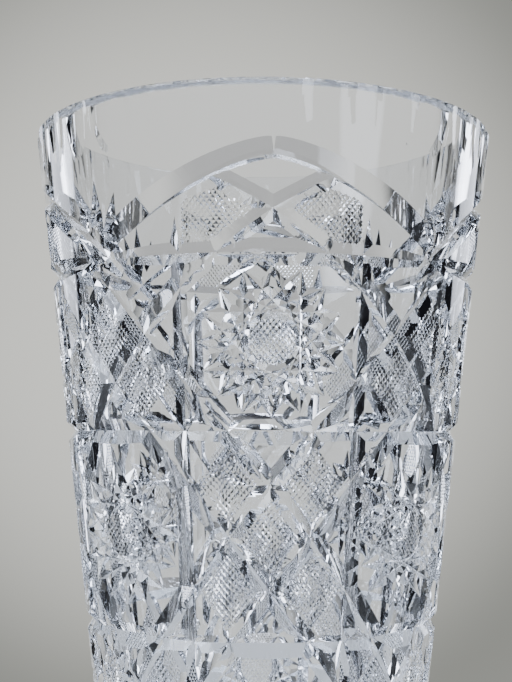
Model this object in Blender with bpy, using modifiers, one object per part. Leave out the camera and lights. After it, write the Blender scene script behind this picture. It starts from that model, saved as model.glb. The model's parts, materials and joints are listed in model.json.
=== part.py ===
"""Cut crystal vase: one piece of solid glass, turned, then cut with mitre wheels and round wheels.

Units are metres, +Z is up and the origin is the centre of the resting face.
Angles run round the axis from -Y, which is the middle of a front panel.
A drop is a level measured down from the rim.
"""

import math

import bmesh
import bpy
from mathutils import Matrix, Vector

# The blown blank
HEIGHT = 0.300
RIM_RADIUS = 0.080
TAPER = 0.12                # radius lost for each metre down from the rim
WALL = 0.009
BASE_THICKNESS = 0.022
FLOOR_FILLET = 0.012
FLOOR_FILLET_STEPS = 6
RIM_BEVEL = 0.0012
HEEL_BEVEL = 0.0020
PUNT_DEPTH = 0.0015         # recess of the underside, inside the resting ring
RESTING_RING_WIDTH = 0.009
TURNING_STEPS = 48

# Layout of the cut pattern
PANELS = 8
PANEL_ANGLE = 2 * math.pi / PANELS
ARCH_TOP_DROP = 0.30 * RIM_RADIUS
ARCH_RISE = 0.30 * RIM_RADIUS       # how far an arch falls over one panel
ARCH_POWER = 1.7
SPEAR_TOP_DROP = 0.28 * RIM_RADIUS
SPEAR_FOOT_DROP = 0.62 * RIM_RADIUS
UPRIGHT_TOP_DROP = 0.45 * RIM_RADIUS
BROW_DROP = 0.615 * RIM_RADIUS      # level mitre across the top of each front panel
BROW_SPAN = 0.93 * PANEL_ANGLE
CROSS_DROP = 0.47 * RIM_RADIUS      # the two long diagonals of a front panel cross here
KNEE_DROP = 0.915 * RIM_RADIUS      # the short diagonals pass a panel's edge here
RING_DROPS = [share * RIM_RADIUS for share in (1.285, 2.07, 2.85)]
LATTICE_SLOPE = (RING_DROPS[1] - RING_DROPS[0]) / PANEL_ANGLE

# Wheel cuts: a mitre is as deep as its half width
MITRE_DEPTH = 0.0032
UPRIGHT_DEPTH = 0.0030
RING_DEPTH = 0.0030
ARCH_DEPTH = 0.0034
SPEAR_DEPTH = 0.0032
TIP_SHARE = 0.15            # what is left of a mitre's depth at its pointed end
UPRIGHT_TIP = 0.020
TIP_LIFT = 0.0003           # a spear's points run out this far off the wall
PATH_STEP_ANGLE = math.radians(11.25)
RIM_FLUTES = 36
RIM_FLUTE_REACH = 0.0180
RIM_FLUTE_DEPTH = 0.0011
BASE_FLUTES = 16
BASE_FLUTE_REACH = 0.060
BASE_FLUTE_DEPTH = 0.0016
FLUTE_BULGE = 8             # radial half axis of a flute's cutter, in flute depths
STAR_POINTS = 16
STAR_RADIUS = 0.031
STAR_DEPTH = 0.0016
WELD = 1e-6

GLASS_COLOUR = (0.93, 0.94, 0.95, 1.0)
GLASS_ROUGHNESS = 0.02
GLASS_IOR = 1.545


def outer_radius(drop):
    return RIM_RADIUS - TAPER * drop


def on_wall(angle, drop, offset=0.0):
    """The point of the uncut wall at this angle and drop, moved away from the axis by offset."""
    radius = outer_radius(drop) + offset
    return Vector((radius * math.sin(angle), -radius * math.cos(angle), HEIGHT - drop))


def away_from_wall(angle):
    return Vector((math.sin(angle), -math.cos(angle), -TAPER)).normalized()


def clear_scene():
    for obj in list(bpy.data.objects):
        bpy.data.objects.remove(obj)


def new_collection(name):
    collection = bpy.data.collections.new(name)
    bpy.context.scene.collection.children.link(collection)
    return collection


def glass():
    material = bpy.data.materials.new("lead_crystal")
    material.use_nodes = True
    shader = material.node_tree.nodes["Principled BSDF"]
    shader.inputs["Base Color"].default_value = GLASS_COLOUR
    shader.inputs["Metallic"].default_value = 0.0
    shader.inputs["Roughness"].default_value = GLASS_ROUGHNESS
    shader.inputs["IOR"].default_value = GLASS_IOR
    shader.inputs["Transmission Weight"].default_value = 1.0
    return material


def arc(centre_x, centre_z, radius, start, end, steps):
    """Points of an arc in the profile plane, from the start angle to the end angle."""
    angles = [start + (end - start) * i / steps for i in range(steps + 1)]
    return [(centre_x + radius * math.cos(a), centre_z + radius * math.sin(a)) for a in angles]


def blank_profile():
    """Half section of the blank: the cavity's floor, its wall, over the rim, and down to the underside."""
    inner_at_floor = outer_radius(HEIGHT - BASE_THICKNESS) - WALL
    floor = arc(inner_at_floor - FLOOR_FILLET, BASE_THICKNESS + FLOOR_FILLET, FLOOR_FILLET,
                -math.pi / 2, -math.atan(TAPER), FLOOR_FILLET_STEPS)
    inner_rim = RIM_RADIUS - WALL
    rim = [
        (inner_rim - TAPER * RIM_BEVEL, HEIGHT - RIM_BEVEL),
        (inner_rim + RIM_BEVEL, HEIGHT),
        (RIM_RADIUS - RIM_BEVEL, HEIGHT),
        (outer_radius(RIM_BEVEL), HEIGHT - RIM_BEVEL),
    ]
    foot = outer_radius(HEIGHT)
    heel = [(outer_radius(HEIGHT - HEEL_BEVEL), HEEL_BEVEL), (foot - HEEL_BEVEL, 0.0)]
    punt = foot - HEEL_BEVEL - RESTING_RING_WIDTH
    underside = [(punt, 0.0), (punt - PUNT_DEPTH, PUNT_DEPTH), (0.0, PUNT_DEPTH)]
    return [(0.0, BASE_THICKNESS)] + floor + rim + heel + underside


def turn(name, profile, collection):
    """The solid that a lathe makes of a profile at +X."""
    mesh = bpy.data.meshes.new(name)
    points = [(x, 0.0, z) for x, z in profile]
    mesh.from_pydata(points, [(i, i + 1) for i in range(len(points) - 1)], [])
    obj = bpy.data.objects.new(name, mesh)
    collection.objects.link(obj)
    screw = obj.modifiers.new("turning", "SCREW")
    screw.axis = "Z"
    screw.angle = 2 * math.pi
    screw.steps = screw.render_steps = TURNING_STEPS
    screw.use_merge_vertices = True
    screw.merge_threshold = 0.00005
    return obj


def add_cutter(name, mesh, cutters):
    cutter = bpy.data.objects.new(name, mesh)
    cutter.hide_render = True
    cutter.display_type = "WIRE"
    cutters.objects.link(cutter)


def mitre(name, path, depth, cutters, cyclic=False):
    """A V-wheel's cut along a path: a four-sided tube with one edge towards the vase's axis."""
    curve = bpy.data.curves.new(name, "CURVE")
    curve.dimensions = "3D"
    curve.twist_mode = "Z_UP"
    curve.bevel_depth = depth
    curve.bevel_resolution = 0
    curve.use_fill_caps = not cyclic
    spline = curve.splines.new("POLY")
    spline.points.add(len(path) - 1)
    spline.use_cyclic_u = cyclic
    for i, point in enumerate(path):
        at_end = i in (0, len(path) - 1)
        spline.points[i].co = (*point, 1.0)
        spline.points[i].radius = TIP_SHARE if at_end and not cyclic else 1.0
    drawn = bpy.data.objects.new(name + "_path", curve)
    bpy.context.scene.collection.objects.link(drawn)
    evaluated = drawn.evaluated_get(bpy.context.evaluated_depsgraph_get())
    mesh = bpy.data.meshes.new_from_object(evaluated)
    mesh.transform(drawn.matrix_world)
    bpy.data.objects.remove(drawn)
    shape = bmesh.new()
    shape.from_mesh(mesh)
    bmesh.ops.remove_doubles(shape, verts=shape.verts, dist=WELD)
    bmesh.ops.recalc_face_normals(shape, faces=shape.faces)
    shape.to_mesh(mesh)
    shape.free()
    add_cutter(name, mesh, cutters)


def spear(name, start, end, outwards, tip, depth, cutters):
    """A straight V-wheel's cut with two long points: a four-sided rod from start to end, sharpened over tip."""
    length = (end - start).length
    sections = [(0.0, depth, 0.0, tip), (depth, depth, tip, length - tip), (depth, 0.0, length - tip, length)]
    shape = bmesh.new()
    for lower_radius, upper_radius, lower, upper in sections:
        if upper - lower > WELD:
            placed = Matrix.Translation((0, 0, (lower + upper) / 2))
            bmesh.ops.create_cone(shape, cap_ends=False, segments=4, radius1=lower_radius,
                                  radius2=upper_radius, depth=upper - lower, matrix=placed)
    bmesh.ops.remove_doubles(shape, verts=shape.verts, dist=WELD)
    bmesh.ops.recalc_face_normals(shape, faces=shape.faces)
    mesh = bpy.data.meshes.new(name)
    shape.to_mesh(mesh)
    shape.free()
    along = (end - start).normalized()
    frame = Matrix((outwards, along.cross(outwards), along)).transposed().to_4x4()
    mesh.transform(Matrix.Translation(start) @ frame)
    add_cutter(name, mesh, cutters)


def flute(name, angle, drop, reach, depth, half_width, cutters):
    """A round wheel's dip in the wall: an egg that is depth deep at its drop and runs out reach above and below."""
    radial = FLUTE_BULGE * depth
    share = math.sqrt(1 - ((radial - depth) / radial) ** 2)
    shape = bmesh.new()
    bmesh.ops.create_uvsphere(shape, u_segments=12, v_segments=8, radius=1.0)
    mesh = bpy.data.meshes.new(name)
    shape.to_mesh(mesh)
    shape.free()
    size = Matrix.Diagonal((half_width / share, radial, reach / share, 1.0))
    lean = Matrix.Rotation(math.atan(TAPER), 4, "X")
    centre = on_wall(angle, drop, radial - depth)
    mesh.transform(Matrix.Translation(centre) @ Matrix.Rotation(angle, 4, "Z") @ lean @ size)
    add_cutter(name, mesh, cutters)


def cut_flutes(name, count, drop, reach, depth, cutters):
    """Flutes side by side all round the vase, meeting at sharp ribs."""
    half_width = math.pi * outer_radius(drop) / count
    for i in range(count):
        flute(f"{name}_{i}", 2 * math.pi * i / count, drop, reach, depth, half_width, cutters)


def spaced(start, end):
    """Angles from start to end in steps of about PATH_STEP_ANGLE, both ends included."""
    count = round((end - start) / PATH_STEP_ANGLE)
    return [start + (end - start) * i / count for i in range(count + 1)]


def arch_drop(turned):
    return ARCH_TOP_DROP + ARCH_RISE * (turned / PANEL_ANGLE) ** ARCH_POWER


def long_diagonal_drop(turned):
    """From the crossing in a front panel's middle, with a steeper lattice slope below the first ring."""
    to_ring = 1.25 * PANEL_ANGLE
    if turned > to_ring:
        return RING_DROPS[0] + LATTICE_SLOPE * (turned - to_ring)
    return CROSS_DROP + (RING_DROPS[0] - CROSS_DROP) * turned / to_ring


def short_diagonal_drop(turned):
    """From beside the next panel's middle, back over a front panel's edge and across the first ring."""
    to_ring = -PANEL_ANGLE / 4
    if turned > to_ring:
        return RING_DROPS[0] + LATTICE_SLOPE * (turned - to_ring)
    knee_slope = 2 * (RING_DROPS[0] - KNEE_DROP) / PANEL_ANGLE
    return RING_DROPS[0] + knee_slope * (turned - to_ring)


def cut_front_panel(panel, cutters):
    """The arch over a front panel, its brow, and the four diagonals that start in it."""
    middle = panel * PANEL_ANGLE
    brow = [on_wall(middle + turned, BROW_DROP) for turned in spaced(-BROW_SPAN, BROW_SPAN)]
    mitre(f"brow_{panel}", brow, RING_DEPTH, cutters)
    long_end = 2.25 * PANEL_ANGLE
    short_end = 0.75 * PANEL_ANGLE
    for side, hand in (("right", 1), ("left", -1)):
        long_path = [on_wall(middle + hand * turned, long_diagonal_drop(turned))
                     for turned in spaced(-0.28 * PANEL_ANGLE, long_end)]
        short_path = [on_wall(middle + hand * turned, short_diagonal_drop(turned))
                      for turned in spaced(-1.10 * PANEL_ANGLE, short_end)]
        arch_path = [on_wall(middle + hand * turned, arch_drop(turned))
                     for turned in spaced(0.01 * PANEL_ANGLE, 1.30 * PANEL_ANGLE)]
        mitre(f"long_{side}_{panel}", long_path, MITRE_DEPTH, cutters)
        mitre(f"short_{side}_{panel}", short_path, MITRE_DEPTH, cutters)
        mitre(f"arch_{side}_{panel}", arch_path, ARCH_DEPTH, cutters)


def cut_side_panel(panel, cutters):
    """The spear between two arches, above a side panel."""
    middle = panel * PANEL_ANGLE
    top = on_wall(middle, SPEAR_TOP_DROP, TIP_LIFT)
    foot = on_wall(middle, SPEAR_FOOT_DROP, TIP_LIFT)
    spear(f"spear_{panel}", foot, top, away_from_wall(middle), (top - foot).length / 2, SPEAR_DEPTH, cutters)


def cut_upright(seam, cutters):
    """The upright mitre along the edge between two panels."""
    angle = (seam + 0.5) * PANEL_ANGLE
    top = on_wall(angle, UPRIGHT_TOP_DROP, TIP_LIFT)
    foot = on_wall(angle, RING_DROPS[2], TIP_LIFT)
    spear(f"upright_{seam}", foot, top, away_from_wall(angle), UPRIGHT_TIP, UPRIGHT_DEPTH, cutters)


def cut_rings(cutters):
    for i, drop in enumerate(RING_DROPS):
        path = [on_wall(2 * math.pi * step / TURNING_STEPS, drop) for step in range(TURNING_STEPS)]
        mitre(f"ring_{i}", path, RING_DEPTH, cutters, cyclic=True)


def cut_star(cutters):
    """The star under the base, two opposite points to each cut."""
    for i in range(STAR_POINTS // 2):
        angle = 2 * math.pi * i / STAR_POINTS
        end = STAR_RADIUS * Vector((math.cos(angle), math.sin(angle), 0.0))
        centre = Vector((0.0, 0.0, PUNT_DEPTH))
        spear(f"star_{i}", centre - end, centre + end, Vector((0, 0, -1)), STAR_RADIUS, STAR_DEPTH, cutters)


def make_cutters():
    cutters = new_collection("wheel_cuts")
    cutters.hide_render = True
    cut_flutes("rim_flute", RIM_FLUTES, 0.0, RIM_FLUTE_REACH, RIM_FLUTE_DEPTH, cutters)
    cut_flutes("base_flute", BASE_FLUTES, HEIGHT, BASE_FLUTE_REACH, BASE_FLUTE_DEPTH, cutters)
    for panel in range(0, PANELS, 2):
        cut_front_panel(panel, cutters)
        cut_side_panel(panel + 1, cutters)
    for seam in range(PANELS):
        cut_upright(seam, cutters)
    cut_rings(cutters)
    cut_star(cutters)
    return cutters


def main():
    clear_scene()
    body = turn("vase_body", blank_profile(), new_collection("cut_crystal_vase"))
    body.data.materials.append(glass())
    cutting = body.modifiers.new("wheel_cutting", "BOOLEAN")
    cutting.operation = "DIFFERENCE"
    cutting.operand_type = "COLLECTION"
    cutting.collection = make_cutters()
    # The cuts cross in hundreds of places, where EXACT leaves open edges
    cutting.solver = "MANIFOLD"


main()
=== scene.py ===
"""The looks of a cut crystal vase: one piece of lead crystal with every wheel cut that its pattern has.

The blank is turned, then each mitre, flute, star and cross-hatch line is a cutter, and one Boolean takes
them all out of the glass. A place on the wall is an angle round the axis from -Y, in degrees, and a drop
down from the rim, as a share of the rim's radius. A knot is such a place and the depth of a cut there:
(angle, drop, depth).
"""

import json
import math

import bmesh
import bpy
import numpy as np
from mathutils import Matrix, Vector

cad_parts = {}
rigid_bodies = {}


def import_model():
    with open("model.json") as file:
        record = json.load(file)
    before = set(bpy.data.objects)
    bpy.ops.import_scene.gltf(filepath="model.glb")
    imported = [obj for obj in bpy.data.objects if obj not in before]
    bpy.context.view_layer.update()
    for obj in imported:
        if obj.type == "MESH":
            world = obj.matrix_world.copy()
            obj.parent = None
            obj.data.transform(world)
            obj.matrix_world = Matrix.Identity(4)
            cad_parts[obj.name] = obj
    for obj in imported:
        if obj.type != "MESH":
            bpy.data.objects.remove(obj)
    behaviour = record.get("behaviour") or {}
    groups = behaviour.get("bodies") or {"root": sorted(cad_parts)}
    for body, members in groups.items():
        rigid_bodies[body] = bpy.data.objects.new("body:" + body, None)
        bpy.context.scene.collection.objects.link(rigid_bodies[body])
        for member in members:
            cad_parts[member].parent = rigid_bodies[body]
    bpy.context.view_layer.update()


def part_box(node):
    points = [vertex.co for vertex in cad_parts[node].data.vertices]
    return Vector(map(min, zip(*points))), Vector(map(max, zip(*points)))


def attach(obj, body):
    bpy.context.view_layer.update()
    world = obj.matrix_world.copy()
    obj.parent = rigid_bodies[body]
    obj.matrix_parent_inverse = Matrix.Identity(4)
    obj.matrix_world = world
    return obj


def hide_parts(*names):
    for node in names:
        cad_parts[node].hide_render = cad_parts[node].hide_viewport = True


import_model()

LOW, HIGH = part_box("vase_body")

# The blank, from the frame's box: the rim's ribs touch the box half a flute away from its middles
RIM_FLUTES = 36
HEIGHT = HIGH[2] - LOW[2]
RIM = (HIGH[0] - LOW[0]) / 2 / math.cos(math.pi / RIM_FLUTES)
TAPER = 0.12
WALL = 0.009
BASE = 0.022
FLOOR_FILLET = 0.012    # where the cavity's floor meets its wall
RIM_EDGE = 0.0014       # radius of the rounded rim
RIM_DRAW_IN = 0.0002    # keeps the rim's outer round just inside the wall's cone
HEEL = 0.002            # radius of the outer edge that the vase stands on
RESTING_RING = 0.009
RECESS = 0.0015         # height of the underside inside the resting ring
RECESS_SLOPE = 0.0015
TURNING_STEPS = 180
WALL_BANDS = 60
WELD = 0.00001

# The pattern's grid: four front panels with four side panels between them
QUARTER = 90.0
STEP = 11.25
PANEL = 4 * STEP
RING_DROPS = (1.285, 2.07, 2.85)
LATTICE_RISE = (RING_DROPS[1] - RING_DROPS[0]) / 4
LATTICE_STEPS = round((RING_DROPS[2] - RING_DROPS[0]) / LATTICE_RISE)
LONG_DROPS = (0.37, 0.47, 0.595, 0.75, 0.92, 1.10)      # the long diagonal, at each grid line from -STEP
SHORT_DROPS = (0.735, 0.92, 1.10)                       # the short diagonal, from four grid lines back
BROW_DROP = 0.63


# ---------------------------------------------------------------- the wall

def radius_at(drop):
    return RIM * (1 - TAPER * drop)


def on_wall(angle, drop):
    turned = math.radians(angle)
    radius = radius_at(drop)
    return Vector((radius * math.sin(turned), -radius * math.cos(turned), HEIGHT - drop * RIM))


def out_of_wall(angle):
    turned = math.radians(angle)
    return Vector((math.sin(turned), -math.cos(turned), -TAPER)).normalized()


# ---------------------------------------------------------------- cutters

LIFT = 0.0012           # how far a cutter's lid stands off the wall
LEAST_OPENING = 0.1     # smallest height of a section, in lifts
PATH_STEP = 0.0028      # longest run between two sections of a cutter
SPREAD = 1.4            # width of a V's wall for each unit of depth


def route(knots, step=PATH_STEP):
    """Knots along straight runs between the given ones, close enough to follow the round wall."""
    points = []
    for (angle_a, drop_a, depth_a), (angle_b, drop_b, depth_b) in zip(knots, knots[1:]):
        across = math.radians(angle_b - angle_a) * radius_at(drop_a)
        along = (drop_b - drop_a) * RIM
        count = max(1, math.ceil(math.hypot(across, along) / step))
        for i in range(count):
            share = i / count
            points.append((angle_a + (angle_b - angle_a) * share, drop_a + (drop_b - drop_a) * share,
                           depth_a + (depth_b - depth_a) * share))
    points.append(knots[-1])
    return points


def sweep(shape, points, left_spread=SPREAD, right_spread=SPREAD, closed=False, lift=LIFT):
    """Adds a V-shaped cutter that follows points; left and right are those of a walker on the wall."""
    places = [on_wall(angle, drop) for angle, drop, _ in points]
    sections = []
    for i, (angle, _, depth) in enumerate(points):
        after = places[(i + 1) % len(places)] if closed or i + 1 < len(places) else places[i]
        before = places[i - 1] if closed or i > 0 else places[i]
        outwards = out_of_wall(angle)
        right = (after - before).cross(outwards).normalized()
        lid = places[i] + lift * outwards
        opening = max(depth + lift, LEAST_OPENING * lift)
        corners = (lid - opening * outwards, lid + opening * right_spread * right,
                   lid - opening * left_spread * right)
        sections.append([shape.verts.new(corner) for corner in corners])
    pairs = list(zip(sections, sections[1:]))
    if closed:
        pairs.append((sections[-1], sections[0]))
    for here, there in pairs:
        for j in range(3):
            k = (j + 1) % 3
            shape.faces.new((here[j], here[k], there[k], there[j]))
    if not closed:
        shape.faces.new(sections[0][::-1])
        shape.faces.new(sections[-1])


def keep_cutter(shape, name, cutters):
    bmesh.ops.triangulate(shape, faces=shape.faces)
    bmesh.ops.recalc_face_normals(shape, faces=shape.faces)
    mesh = bpy.data.meshes.new(name)
    shape.to_mesh(mesh)
    shape.free()
    cutter = bpy.data.objects.new(name, mesh)
    cutter.hide_render = True
    cutters.objects.link(cutter)


def cut(name, cutters, knots, left_spread=SPREAD, right_spread=SPREAD, closed=False):
    shape = bmesh.new()
    sweep(shape, route(knots), left_spread, right_spread, closed)
    keep_cutter(shape, name, cutters)


# ---------------------------------------------------------------- the main mitres

TIP = -0.8 * LIFT       # a cut that has run out of the glass
MITRE = 0.0026          # depth of a diagonal mitre
MITRE_SPREAD = 1.30
LONG_START = (-1.35, 0.345, 0.3 * MITRE)        # a diagonal's first knot, with its angle in grid steps
SHORT_START = (-4.45, 0.665, TIP)

ARCH_TOP = 0.275        # drop of an arch's highest point
ARCH_FALL = 0.344       # how much lower it is one panel away
ARCH_POWER = 1.42
ARCH_DEPTH = 0.0030
ARCH_SWELL = 0.0004     # depth that it gains over its first degrees
ARCH_SWELL_END = 30.0
ARCH_FADE_START = 46.0
ARCH_FADE_END = 56.0
ARCH_END = 52.0
ARCH_STEP = 2.0
ARCH_OUTER = 1.65       # spreads of its wide outer wall and its steep inner one
ARCH_INNER = 0.55

RING_MIDDLE = 0.0030    # a ring is leaf shaped: deepest in a panel's middle, shallow at its edges
RING_EDGE = 0.0019
BROW_DEPTH = 0.0029
BROW_END = 43.0
BROW_STEPS = 43

UPRIGHT = 0.0024
UPRIGHT_TOP = 0.45
UPRIGHT_TIP = 0.14      # drop from a pointed end to where the cut is nearly at its depth
UPRIGHT_TIP_SHARE = 0.9
UPRIGHT_WIDE = 1.35
UPRIGHT_NARROW = 0.85

# Each blade of a fan: its lean in degrees, the drop of its tip and its depth
FAN_BLADES = ((0, 0.27, 0.0030), (7, 0.34, 0.0022), (-7, 0.34, 0.0022))
FAN_SPREAD = 1.0
FAN_FOOT = 0.60         # drop of the blades' feet, where they have some of their lean and depth
FAN_FOOT_LEAN = 0.25
FAN_FOOT_DEPTH = 0.7
FAN_SWELL = 0.47        # drop where they are at their depth
FAN_SWELL_LEAN = 0.7


def long_diagonal(hand, middle):
    """Knots from the arch down to the last ring, through the crossing in a front panel's middle."""
    knots = [LONG_START]
    knots += [(i - 1, drop, MITRE) for i, drop in enumerate(LONG_DROPS)]
    knots += [(5 + i, RING_DROPS[0] + LATTICE_RISE * i, MITRE) for i in range(LATTICE_STEPS + 1)]
    return [(middle + hand * step * STEP, drop, depth) for step, drop, depth in knots]


def short_diagonal(hand, middle):
    """Knots from the point under the arches, back across a front panel and down to the last ring."""
    knots = [SHORT_START]
    knots += [(i - 4, drop, MITRE) for i, drop in enumerate(SHORT_DROPS)]
    knots += [(i - 1, RING_DROPS[0] + LATTICE_RISE * i, MITRE) for i in range(LATTICE_STEPS + 1)]
    return [(middle + hand * step * STEP, drop, depth) for step, drop, depth in knots]


def arch(hand, middle):
    """Knots down one half of an arch, which fades out past the panel's edge."""
    knots = []
    for i in range(round(ARCH_END / ARCH_STEP) + 1):
        angle = ARCH_STEP * i
        drop = ARCH_TOP + ARCH_FALL * (angle / PANEL) ** ARCH_POWER
        depth = ARCH_DEPTH + ARCH_SWELL * min(1.0, angle / ARCH_SWELL_END)
        if angle > ARCH_FADE_START:
            depth *= (ARCH_FADE_END - angle) / (ARCH_FADE_END - ARCH_FADE_START)
        knots.append((middle + hand * angle, drop, depth))
    return knots


def ring(drop):
    """Knots of a level mitre all round, wide in the middle of each panel and narrow at its edges."""
    knots = []
    for i in range(TURNING_STEPS):
        angle = 360 * i / TURNING_STEPS
        swell = math.cos(math.pi * angle / PANEL) ** 2
        knots.append((angle, drop, RING_EDGE + (RING_MIDDLE - RING_EDGE) * swell))
    return knots


def brow(middle):
    """Knots of the level mitre over a front star, pointed at both ends."""
    knots = []
    for i in range(BROW_STEPS + 1):
        turned = -BROW_END + 2 * BROW_END * i / BROW_STEPS
        swell = math.sqrt(max(0.0, 1 - (turned / BROW_END) ** 2))
        knots.append((middle + turned, BROW_DROP, BROW_DEPTH * swell if swell else TIP))
    return knots


def upright(angle, top, foot, pointed):
    knots = [(angle, top, TIP if pointed else UPRIGHT)]
    if pointed:
        knots.append((angle, top + UPRIGHT_TIP, UPRIGHT_TIP_SHARE * UPRIGHT))
    knots.append((angle, foot, UPRIGHT))
    return knots


def cut_uprights(side, hand, quarter, cutters):
    """The uprights down one edge of a front panel, each with its wide wall on the side of its row's star."""
    seam = QUARTER * quarter + hand * PANEL / 2
    tops = (UPRIGHT_TOP, *RING_DROPS)
    for row, (top, foot) in enumerate(zip(tops, RING_DROPS)):
        star_on_right = (hand < 0) == (row % 2 == 0)
        spreads = (UPRIGHT_WIDE, UPRIGHT_NARROW) if star_on_right else (UPRIGHT_NARROW, UPRIGHT_WIDE)
        knots = upright(seam, top, foot, pointed=row == 0)
        cut(f"cut_upright_{row}_{side}_{quarter}", cutters, knots, *spreads)


def cut_half_panel(side, hand, quarter, cutters):
    """The diagonals, half arch and uprights on one side of a front panel's middle."""
    middle = QUARTER * quarter
    arch_spreads = (ARCH_OUTER, ARCH_INNER) if hand > 0 else (ARCH_INNER, ARCH_OUTER)
    cut(f"cut_long_{side}_{quarter}", cutters, long_diagonal(hand, middle), MITRE_SPREAD, MITRE_SPREAD)
    cut(f"cut_short_{side}_{quarter}", cutters, short_diagonal(hand, middle), MITRE_SPREAD, MITRE_SPREAD)
    cut(f"cut_arch_{side}_{quarter}", cutters, arch(hand, middle), *arch_spreads)
    cut_uprights(side, hand, quarter, cutters)


def cut_fan(quarter, cutters):
    """Blades that spread upwards from where two arches meet."""
    middle = QUARTER * quarter + PANEL
    for blade, (lean, top, depth) in enumerate(FAN_BLADES):
        foot = (middle + FAN_FOOT_LEAN * lean, FAN_FOOT, FAN_FOOT_DEPTH * depth)
        swell = (middle + FAN_SWELL_LEAN * lean, FAN_SWELL, depth)
        tip = (middle + lean, top, TIP)
        cut(f"cut_fan_{blade}_{quarter}", cutters, [foot, swell, tip], FAN_SPREAD, FAN_SPREAD)


def cut_main_mitres(cutters):
    for i, drop in enumerate(RING_DROPS):
        cut(f"cut_ring_{i}", cutters, ring(drop), MITRE_SPREAD, MITRE_SPREAD, closed=True)
    for quarter in range(4):
        cut(f"cut_brow_{quarter}", cutters, brow(QUARTER * quarter))
        for side, hand in (("r", 1), ("l", -1)):
            cut_half_panel(side, hand, quarter, cutters)
        cut_fan(quarter, cutters)


# ---------------------------------------------------------------- stars

STAR_POINTS = 16
STAR_SKIP = 6           # each cut joins a point to the sixth one round from it
STAR_RADIUS = 0.0224
STAR_DEPTH = 0.0018
STAR_SPREAD = 1.15
STAR_RAMP = 0.2         # share of a cut over which it reaches its depth
STAR_MIDDLES = ((0.0, 0.955), (PANEL, 1.678), (0.0, 2.46))      # angle and drop of the star in each row


def local_place(middle, drop, across, down):
    """The place on the wall at this distance across and down, in metres, from a centre."""
    there = drop + down / RIM
    return middle + math.degrees(across / radius_at(there)), there


def star_chords():
    """The sixteen straight cuts of a star, as pairs of ends across and down from its centre."""
    for i in range(STAR_POINTS):
        ends = [2 * math.pi * k / STAR_POINTS for k in (i, i + STAR_SKIP)]
        yield [(STAR_RADIUS * math.sin(a), STAR_RADIUS * math.cos(a)) for a in ends]


def star_places():
    """Centre of each star: in the front panels of odd rows and the side panels of even ones."""
    return [(QUARTER * quarter + angle, drop) for quarter in range(4) for angle, drop in STAR_MIDDLES]


def cut_stars(cutters):
    """Each cutter is the same chord of every star, so that it never overlaps itself."""
    depths = ((0.0, 0.0), (STAR_RAMP, STAR_DEPTH), (1 - STAR_RAMP, STAR_DEPTH), (1.0, 0.0))
    for i, ((start_x, start_y), (end_x, end_y)) in enumerate(star_chords()):
        shape = bmesh.new()
        for middle, drop in star_places():
            knots = []
            for share, depth in depths:
                across = start_x + (end_x - start_x) * share
                down = start_y + (end_y - start_y) * share
                knots.append((*local_place(middle, drop, across, down), depth))
            sweep(shape, route(knots), STAR_SPREAD, STAR_SPREAD)
        keep_cutter(shape, f"cut_star_{i}", cutters)


# ---------------------------------------------------------------- cross-hatching

HATCH_PITCH = 0.0014
HATCH_DEPTH = 0.0005
HATCH_TILTS = (40.0, -40.0)
HATCH_STEP = 0.0065
HATCH_SPREAD = 0.52 * HATCH_PITCH / HATCH_DEPTH
HATCH_INSET = 0.0026    # clear border between a field's edge and its lines
HATCH_LIFT = 0.0002     # low enough that every second line's cutters stay apart
BUTTON_GAP = 0.0008     # clear border round the hatched middle of a star
PARALLEL = 1e-9

# Corners of the field on one side of the crossing under an arch: grid steps from the middle, and drops
UNDER_ARCH = ((0.0, LONG_DROPS[1]), (1.15, 0.365), (2.0, 0.415), (2.0, BROW_DROP), (1.2, BROW_DROP))


def inset_spans(corners, normal, offset, inset):
    """The stretch of a straight line inside a convex polygon that is drawn in by inset; None if it misses."""
    along = Vector((-normal.y, normal.x))
    start, end = -1.0, 1.0
    for i, corner in enumerate(corners):
        edge = corners[(i + 1) % len(corners)] - corner
        inwards = Vector((-edge.y, edge.x)).normalized()
        limit = inwards.dot(corner) + inset
        speed = inwards.dot(along)
        height = inwards.dot(normal * offset) - limit
        if abs(speed) < PARALLEL:
            if height < 0:
                return None
        elif speed > 0:
            start = max(start, -height / speed)
        else:
            end = min(end, -height / speed)
    return (start, end) if end - start > HATCH_PITCH else None


def hatch(shapes, middle, drop, corners, inset):
    """Adds two crossing sets of fine lines over a convex field; corners are (across, down) in metres."""
    corners = [Vector(corner) for corner in corners]
    reach = math.ceil(max(corner.length for corner in corners) / HATCH_PITCH)
    for direction, tilt in enumerate(HATCH_TILTS):
        normal = Vector((math.cos(math.radians(tilt)), math.sin(math.radians(tilt))))
        along = Vector((-normal.y, normal.x))
        for line in range(-reach, reach + 1):
            offset = (line + 0.5) * HATCH_PITCH
            span = inset_spans(corners, normal, offset, inset)
            if not span:
                continue
            knots = [(*local_place(middle, drop, *(normal * offset + along * s)), HATCH_DEPTH) for s in span]
            points = route(knots, HATCH_STEP)
            sweep(shapes[2 * direction + line % 2], points, HATCH_SPREAD, HATCH_SPREAD, lift=HATCH_LIFT)


def grid_field(middle, drop, places):
    """Corners across and down, in metres, of a field whose corners are places (angle, drop) on the wall."""
    corners = []
    for angle, there in places:
        corners.append((math.radians(angle - middle) * radius_at(there), (there - drop) * RIM))
    return corners


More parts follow.
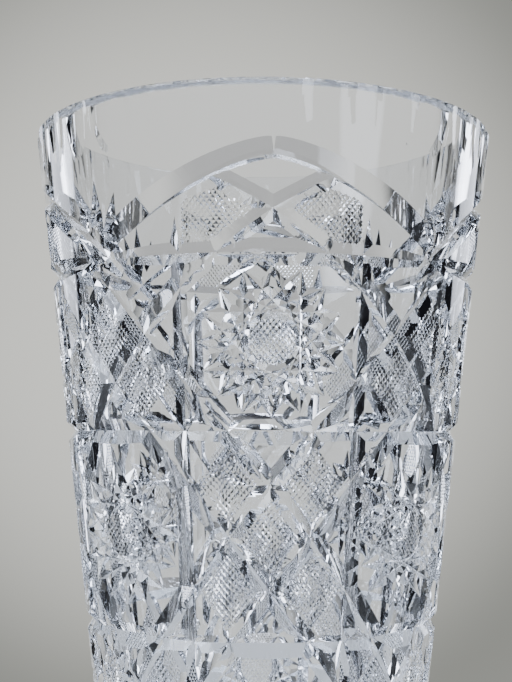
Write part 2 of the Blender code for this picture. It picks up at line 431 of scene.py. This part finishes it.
def hatched_fields():
    """The hatched diamonds of the lattice and the fields under an arch, as their corners on the wall."""
    top, waist, low = SHORT_DROPS
    fields = [((PANEL, top), (PANEL - STEP, waist), (PANEL, low), (PANEL + STEP, waist))]
    for side in (-1, 1):
        fields.append(((PANEL + side * STEP, waist), (PANEL, low), (PANEL + side * STEP, RING_DROPS[0]),
                       (PANEL + side * 2 * STEP, low)))
    for ring_drop, middle in ((RING_DROPS[0], 0.0), (RING_DROPS[1], PANEL)):
        for column, row in ((0, 1), (-1, 0), (1, 0), (-1, 2), (1, 2)):
            centre = middle + column * STEP
            first = ring_drop + row * LATTICE_RISE
            fields.append(((centre, first), (centre - STEP, first + LATTICE_RISE),
                           (centre, first + 2 * LATTICE_RISE), (centre + STEP, first + LATTICE_RISE)))
    for side in (-1, 1):
        fields.append(tuple((side * steps * STEP, drop) for steps, drop in UNDER_ARCH))
    return fields


def counter_clockwise(corners):
    area = sum(a[0] * b[1] - b[0] * a[1] for a, b in zip(corners, corners[1:] + corners[:1]))
    return corners if area > 0 else corners[::-1]


def cut_hatching(cutters):
    """Four cutters: two directions of line, and in each direction every second line."""
    shapes = [bmesh.new() for _ in range(2 * len(HATCH_TILTS))]
    for quarter in range(4):
        for places in hatched_fields():
            places = [(angle + QUARTER * quarter, drop) for angle, drop in places]
            middle = sum(angle for angle, _ in places) / len(places)
            drop = sum(there for _, there in places) / len(places)
            hatch(shapes, middle, drop, counter_clockwise(grid_field(middle, drop, places)), HATCH_INSET)
    button = STAR_RADIUS * math.cos(math.pi * STAR_SKIP / STAR_POINTS) - BUTTON_GAP
    ends = [2 * math.pi * (k + 0.5) / STAR_POINTS for k in range(STAR_POINTS)]
    corners = [(button * math.cos(a), button * math.sin(a)) for a in ends]
    for middle, drop in star_places():
        hatch(shapes, middle, drop, corners, 0.0)
    for i, shape in enumerate(shapes):
        keep_cutter(shape, f"cut_hatch_{i}", cutters)


# ---------------------------------------------------------------- flutes and the star under the base

RIM_FLUTE_REACH = 0.0185
RIM_FLUTE_DEPTH = 0.0008
BASE_FLUTES = 16
BASE_FLUTE_REACH = 0.060
BASE_FLUTE_DEPTH = 0.0016
FLUTE_BULGE = 10        # radial half axis of a flute's cutter, in flute depths
BASE_STAR_CUTS = 8
BASE_STAR_REACH = 0.031
BASE_STAR_DEPTH = 0.0016
BASE_STAR_HALF_WIDTH = 0.0025


def cut_flutes(name, count, drop, reach, depth, cutters):
    """Thumbprints side by side all round, each an egg that dips into the wall and runs out reach away."""
    half_width = math.pi * radius_at(drop) / count
    radial = FLUTE_BULGE * depth
    share = math.sqrt(1 - (1 - depth / radial) ** 2)
    for i in range(count):
        angle = 360.0 * i / count
        shape = bmesh.new()
        bmesh.ops.create_uvsphere(shape, u_segments=48, v_segments=32, radius=1.0)
        size = Matrix.Diagonal((half_width / share, radial, reach / share, 1.0))
        lean = Matrix.Rotation(math.atan(TAPER), 4, "X")
        turned = Matrix.Rotation(math.radians(angle), 4, "Z")
        centre = on_wall(angle, drop) + (radial - depth) * out_of_wall(angle)
        placed = Matrix.Translation(centre) @ turned @ lean @ size
        bmesh.ops.transform(shape, matrix=placed, verts=shape.verts)
        keep_cutter(shape, f"{name}_{i}", cutters)


def cut_base_star(cutters):
    """Sixteen points ground into the recess under the base, two opposite ones to each cut."""
    below = RECESS - LIFT
    corners = ((BASE_STAR_HALF_WIDTH, below), (-BASE_STAR_HALF_WIDTH, below), (0, RECESS + BASE_STAR_DEPTH))
    for i in range(BASE_STAR_CUTS):
        shape = bmesh.new()
        section = [shape.verts.new((0, y, z)) for y, z in corners]
        for x in (-BASE_STAR_REACH, BASE_STAR_REACH):
            point = shape.verts.new((x, 0, RECESS - 0.5 * LIFT))
            for a, b in zip(section, section[1:] + section[:1]):
                shape.faces.new((a, b, point))
        turned = Matrix.Rotation(math.pi * i / BASE_STAR_CUTS, 4, "Z")
        bmesh.ops.transform(shape, matrix=turned, verts=shape.verts)
        keep_cutter(shape, f"cut_base_{i}", cutters)


# ---------------------------------------------------------------- the vase

SHARP = math.radians(14)
ON_WALL = 0.00006               # a corner this close to a turned wall's radius may lie on it
ALONG_WALL = math.radians(2.5)  # and does if its face is turned from it by less than this


def arc(centre_x, centre_z, radius, start, end, steps):
    angles = [start + (end - start) * i / steps for i in range(steps + 1)]
    return [(centre_x + radius * math.cos(a), centre_z + radius * math.sin(a)) for a in angles]


def blank_profile():
    """Half section of the turned blank: floor, inner wall, rounded rim, outer wall, heel and underside."""
    lean = math.atan(TAPER)
    total = HEIGHT / RIM
    foot = radius_at(total)
    inner_floor = foot + TAPER * BASE - WALL
    floor = arc(inner_floor - FLOOR_FILLET, BASE + FLOOR_FILLET, FLOOR_FILLET, -math.pi / 2, -lean, 16)
    rim = arc(RIM - WALL + RIM_EDGE, HEIGHT - RIM_EDGE, RIM_EDGE, math.pi - lean, math.pi / 2, 6)
    rim += arc(RIM - RIM_EDGE - RIM_DRAW_IN, HEIGHT - RIM_EDGE, RIM_EDGE, math.pi / 2, -lean, 6)
    wall = [(radius_at(total * i / WALL_BANDS), HEIGHT * (1 - i / WALL_BANDS)) for i in range(1, WALL_BANDS)]
    heel = arc(foot - HEEL, HEEL, HEEL, 0.0, -math.pi / 2, 5)
    ring_inside = foot - (HEEL + RESTING_RING)
    underside = [(ring_inside, 0.0), (ring_inside - RECESS_SLOPE, RECESS), (0.0, RECESS)]
    return [(0.0, BASE)] + floor + rim + wall + heel + underside


def turned_blank(collection):
    mesh = bpy.data.meshes.new("crystal_vase")
    points = [(x, 0.0, z) for x, z in blank_profile()]
    mesh.from_pydata(points, [(i, i + 1) for i in range(len(points) - 1)], [])
    blank = bpy.data.objects.new("crystal_vase", mesh)
    collection.objects.link(blank)
    screw = blank.modifiers.new("turning", "SCREW")
    screw.axis = "Z"
    screw.angle = 2 * math.pi
    screw.steps = screw.render_steps = TURNING_STEPS
    screw.use_merge_vertices = True
    screw.merge_threshold = WELD
    return blank


def make_cutters():
    """A collection with every cutter in it."""
    cutters = bpy.data.collections.new("wheel_cuts")
    bpy.context.scene.collection.children.link(cutters)
    cut_flutes("cut_rim_flute", RIM_FLUTES, 0.0, RIM_FLUTE_REACH, RIM_FLUTE_DEPTH, cutters)
    cut_flutes("cut_base_flute", BASE_FLUTES, HEIGHT / RIM, BASE_FLUTE_REACH, BASE_FLUTE_DEPTH, cutters)
    cut_base_star(cutters)
    cut_main_mitres(cutters)
    cut_stars(cutters)
    cut_hatching(cutters)
    return cutters


def cut_glass():
    """The blank with every cut taken out of it, as one plain mesh."""
    cutters = make_cutters()
    vase = turned_blank(bpy.context.scene.collection)
    cutting = vase.modifiers.new("cutting", "BOOLEAN")
    cutting.operation = "DIFFERENCE"
    cutting.operand_type = "COLLECTION"
    cutting.collection = cutters
    cutting.solver = "MANIFOLD"
    evaluated = vase.evaluated_get(bpy.context.evaluated_depsgraph_get())
    mesh = bpy.data.meshes.new_from_object(evaluated)
    vase.modifiers.clear()
    vase.data = mesh
    for cutter in list(cutters.objects):
        bpy.data.objects.remove(cutter)
    bpy.data.collections.remove(cutters)
    return vase


def read_values(items, attribute, width, kind=np.float32):
    """An attribute of many mesh elements as an array, one row to each element."""
    values = np.empty(len(items) * width, kind)
    items.foreach_get(attribute, values)
    return values.reshape(-1, width)


def true_normals(mesh):
    """Gives the turned walls the normals of a true cone, and keeps every cut's edges sharp."""
    mesh.shade_smooth()
    mesh.set_sharp_from_angle(angle=SHARP)
    normals = read_values(mesh.corner_normals, "vector", 3)
    vertex_of = read_values(mesh.loops, "vertex_index", 1, np.int32)[:, 0]
    at = read_values(mesh.vertices, "co", 3)[vertex_of]
    sizes = read_values(mesh.polygons, "loop_total", 1, np.int32)[:, 0]
    faces = np.repeat(read_values(mesh.polygons, "normal", 3), sizes, axis=0)
    radius = np.hypot(at[:, 0], at[:, 1])
    level = np.where(radius > 1e-6, radius, 1.0)
    cone = np.stack([at[:, 0] / level, at[:, 1] / level, np.full(len(at), -TAPER)], axis=1)
    cone /= np.linalg.norm(cone, axis=1, keepdims=True)
    wall_radius = RIM - TAPER * (HEIGHT - at[:, 2])
    for surface, sign in ((wall_radius, 1.0), (wall_radius - WALL, -1.0)):
        close = np.abs(radius - surface) < ON_WALL
        facing = np.einsum("ij,ij->i", faces, sign * cone) > math.cos(ALONG_WALL)
        normals = np.where((close & facing)[:, None], sign * cone, normals)
    mesh.normals_split_custom_set(normals.tolist())


# ---------------------------------------------------------------- materials

GLASS_IOR = 1.545
GLASS_COLOUR = (0.985, 0.99, 1.0, 1)
GLASS_SHADOW = (0.86, 0.87, 0.88, 1)
POLISH_SCALE = 38.0     # waves a metre that polishing leaves in the glass
POLISH_HEIGHT = 0.0006
POLISH_STRENGTH = 0.05
BOARD_COLOUR = (0.62, 0.62, 0.595, 1)
BOARD_ROUGHNESS = 0.6
FLOOR_RADIUS = 0.47
FLOOR_FADE_START = 0.20


def node_tree(name):
    material = bpy.data.materials.new(name)
    material.use_nodes = True
    nodes = material.node_tree.nodes
    nodes.clear()
    return material, nodes, material.node_tree.links


def finish_mix(nodes, links, share, near, far):
    """Ends a material with a mix of two shaders: near where share is 0 and far where it is 1."""
    mix = nodes.new("ShaderNodeMixShader")
    links.new(share, mix.inputs["Fac"])
    links.new(near.outputs[0], mix.inputs[1])
    links.new(far.outputs[0], mix.inputs[2])
    output = nodes.new("ShaderNodeOutputMaterial")
    links.new(mix.outputs[0], output.inputs["Surface"])


def crystal():
    """Polished lead crystal, faintly wavy, that lets light through to what it stands on."""
    material, nodes, links = node_tree("lead_crystal")
    noise = nodes.new("ShaderNodeTexNoise")
    noise.inputs["Scale"].default_value = POLISH_SCALE
    noise.inputs["Detail"].default_value = 2.0
    place = nodes.new("ShaderNodeTexCoord")
    links.new(place.outputs["Object"], noise.inputs["Vector"])
    polish = nodes.new("ShaderNodeBump")
    polish.inputs["Strength"].default_value = POLISH_STRENGTH
    polish.inputs["Distance"].default_value = POLISH_HEIGHT
    links.new(noise.outputs["Fac"], polish.inputs["Height"])
    glass = nodes.new("ShaderNodeBsdfGlass")
    glass.inputs["Color"].default_value = GLASS_COLOUR
    glass.inputs["IOR"].default_value = GLASS_IOR
    glass.inputs["Roughness"].default_value = 0.0
    links.new(polish.outputs["Normal"], glass.inputs["Normal"])
    clear = nodes.new("ShaderNodeBsdfTransparent")
    clear.inputs["Color"].default_value = GLASS_SHADOW
    path = nodes.new("ShaderNodeLightPath")
    finish_mix(nodes, links, path.outputs["Is Shadow Ray"], glass, clear)
    return material


def pale_board():
    """Matt pale board that fades out before its edge."""
    material, nodes, links = node_tree("pale_board")
    board = nodes.new("ShaderNodeBsdfPrincipled")
    board.inputs["Base Color"].default_value = BOARD_COLOUR
    board.inputs["Roughness"].default_value = BOARD_ROUGHNESS
    place = nodes.new("ShaderNodeTexCoord")
    length = nodes.new("ShaderNodeVectorMath")
    length.operation = "LENGTH"
    links.new(place.outputs["Object"], length.inputs[0])
    fade = nodes.new("ShaderNodeMapRange")
    fade.interpolation_type = "SMOOTHSTEP"
    fade.inputs["From Min"].default_value = FLOOR_FADE_START
    fade.inputs["From Max"].default_value = FLOOR_RADIUS
    links.new(length.outputs["Value"], fade.inputs["Value"])
    clear = nodes.new("ShaderNodeBsdfTransparent")
    finish_mix(nodes, links, fade.outputs["Result"], board, clear)
    return material


# ---------------------------------------------------------------- studio

FLOOR_GAP = 0.0004      # keeps the floor clear of the face that the vase stands on
BACKDROP_MIDDLE = (0.90, 0.90, 0.845, 1)
BACKDROP_EDGE = (0.30, 0.305, 0.28, 1)
BACKDROP_FAR = (0.60, 0.605, 0.57, 1)
BACKDROP_AIM = (-0.01, 1.0, 0.11)
BACKDROP_FADE = (0.925, 0.998)      # cosines to the aim, where its edge and its middle are reached
FAR_FADE = (0.930, 0.80)            # and where the far colour starts and is reached
CEILING_FADE = (0.17, 0.30)         # cosines to straight up, where the pale turns to dark
PALE = (0.95, 0.955, 0.915, 1)
DARK = (0.008, 0.008, 0.010, 1)

# What the glass sees, later ones over earlier: direction, cosines at the faded edge and at full light, colour
SURROUNDINGS = (
    ((0.0, 1.0, 0.32), 0.80, 0.92, PALE),                       # the backdrop, rising high behind the vase
    ((0.0, 0.80, 0.60), 0.93, 0.97, (0.56, 0.56, 0.55, 1)),     # its dimmer top
    ((1.0, 0.0, 0.0), 0.42, 0.54, DARK),                        # black boards outside the picture
    ((-1.0, 0.0, 0.0), 0.42, 0.54, DARK),
    ((0.0, -1.0, 0.1), 0.60, 0.85, (0.14, 0.145, 0.16, 1)),     # the room behind the camera
    ((-0.75, -0.45, 0.75), 0.94, 0.96, (9.0, 9.8, 11.4, 1)),    # soft boxes: high left, overhead, low right
    ((0.35, 0.15, 1.0), 0.96, 0.97, (7.0, 7.6, 8.8, 1)),
    ((0.8, -0.8, 0.15), 0.975, 0.985, (5.0, 5.3, 6.0, 1)),
    ((0.80, 0.60, 0.1), 0.984, 0.99, (5.6, 5.9, 6.6, 1)),       # and one behind each side of the vase
    ((-0.80, 0.60, 0.1), 0.984, 0.99, (5.6, 5.9, 6.6, 1)),
)


def add_floor():
    shape = bmesh.new()
    bmesh.ops.create_circle(shape, cap_ends=True, segments=96, radius=FLOOR_RADIUS)
    mesh = bpy.data.meshes.new("floor")
    shape.to_mesh(mesh)
    shape.free()
    mesh.materials.append(pale_board())
    floor = bpy.data.objects.new("floor", mesh)
    floor.location = (0, 0, LOW[2] - FLOOR_GAP)
    bpy.context.scene.collection.objects.link(floor)


class WorldNodes:
    """Short calls for the world's node tree."""

    def __init__(self, world):
        world.use_nodes = True
        self.nodes = world.node_tree.nodes
        self.links = world.node_tree.links
        self.nodes.clear()
        place = self.nodes.new("ShaderNodeTexCoord")
        self.direction = place.outputs["Generated"]

    def towards(self, vector):
        """Cosine of the angle to a direction."""
        dot = self.nodes.new("ShaderNodeVectorMath")
        dot.operation = "DOT_PRODUCT"
        self.links.new(self.direction, dot.inputs[0])
        dot.inputs[1].default_value = Vector(vector).normalized()
        return dot.outputs["Value"]

    def window(self, value, start, end):
        """Goes smoothly from 0 where value is start to 1 where it is end."""
        step = self.nodes.new("ShaderNodeMapRange")
        step.interpolation_type = "SMOOTHSTEP"
        step.inputs["From Min"].default_value = start
        step.inputs["From Max"].default_value = end
        self.links.new(value, step.inputs["Value"])
        return step.outputs["Result"]

    def mix(self, share, low, high):
        """The colour low where share is 0 and high where it is 1; each is a constant or an output."""
        blend = self.nodes.new("ShaderNodeMix")
        blend.data_type = "RGBA"
        for socket, value in ((blend.inputs[0], share), (blend.inputs[6], low), (blend.inputs[7], high)):
            if isinstance(value, tuple):
                socket.default_value = value
            else:
                self.links.new(value, socket)
        return blend.outputs[2]


def studio_world():
    """The camera sees a pale backdrop; the glass sees the whole studio round it."""
    world = bpy.data.worlds.new("studio")
    bpy.context.scene.world = world
    tree = WorldNodes(world)
    ahead = tree.towards(BACKDROP_AIM)
    seen = tree.mix(tree.window(ahead, *BACKDROP_FADE), BACKDROP_EDGE, BACKDROP_MIDDLE)
    seen = tree.mix(tree.window(ahead, *FAR_FADE), seen, BACKDROP_FAR)
    up = tree.towards((0, 0, 1))
    around = tree.mix(tree.window(up, *CEILING_FADE), PALE, DARK)
    for direction, start, end, colour in SURROUNDINGS:
        around = tree.mix(tree.window(tree.towards(direction), start, end), around, colour)
    path = tree.nodes.new("ShaderNodeLightPath")
    background = tree.nodes.new("ShaderNodeBackground")
    tree.links.new(tree.mix(path.outputs["Is Camera Ray"], around, seen), background.inputs["Color"])
    output = tree.nodes.new("ShaderNodeOutputWorld")
    tree.links.new(background.outputs[0], output.inputs["Surface"])


CAMERA_DISTANCE = 4.9 * RIM
CAMERA_TURNED = math.radians(-2.32)
CAMERA_DROP = 1.273
CAMERA_TILT = 0.0794
CAMERA_ROLL = -0.0044
CAMERA_PAN = 0.0052
CAMERA_LENS = 58.35


def add_camera():
    """At eye level with the vase's upper half, close, and a little left of the front panel's middle."""
    camera = bpy.data.objects.new("camera", bpy.data.cameras.new("camera"))
    camera.location = (CAMERA_DISTANCE * math.sin(CAMERA_TURNED), -CAMERA_DISTANCE * math.cos(CAMERA_TURNED),
                       HEIGHT - CAMERA_DROP * RIM)
    camera.rotation_euler = (math.pi / 2 + CAMERA_TILT, CAMERA_ROLL, CAMERA_TURNED + CAMERA_PAN)
    camera.data.sensor_width = 36.0
    camera.data.lens = CAMERA_LENS
    camera.data.clip_start = 0.01
    bpy.context.scene.collection.objects.link(camera)
    bpy.context.scene.camera = camera


def allow_long_paths():
    """Lets light cross the many surfaces between the front of the vase and its back."""
    cycles = bpy.context.scene.cycles
    cycles.max_bounces = 32
    cycles.transmission_bounces = 28
    cycles.glossy_bounces = 12
    cycles.transparent_max_bounces = 16


def main():
    vase = cut_glass()
    true_normals(vase.data)
    vase.data.materials.clear()
    vase.data.materials.append(crystal())
    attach(vase, "root")
    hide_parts("vase_body")
    add_floor()
    studio_world()
    add_camera()
    allow_long_paths()


main()
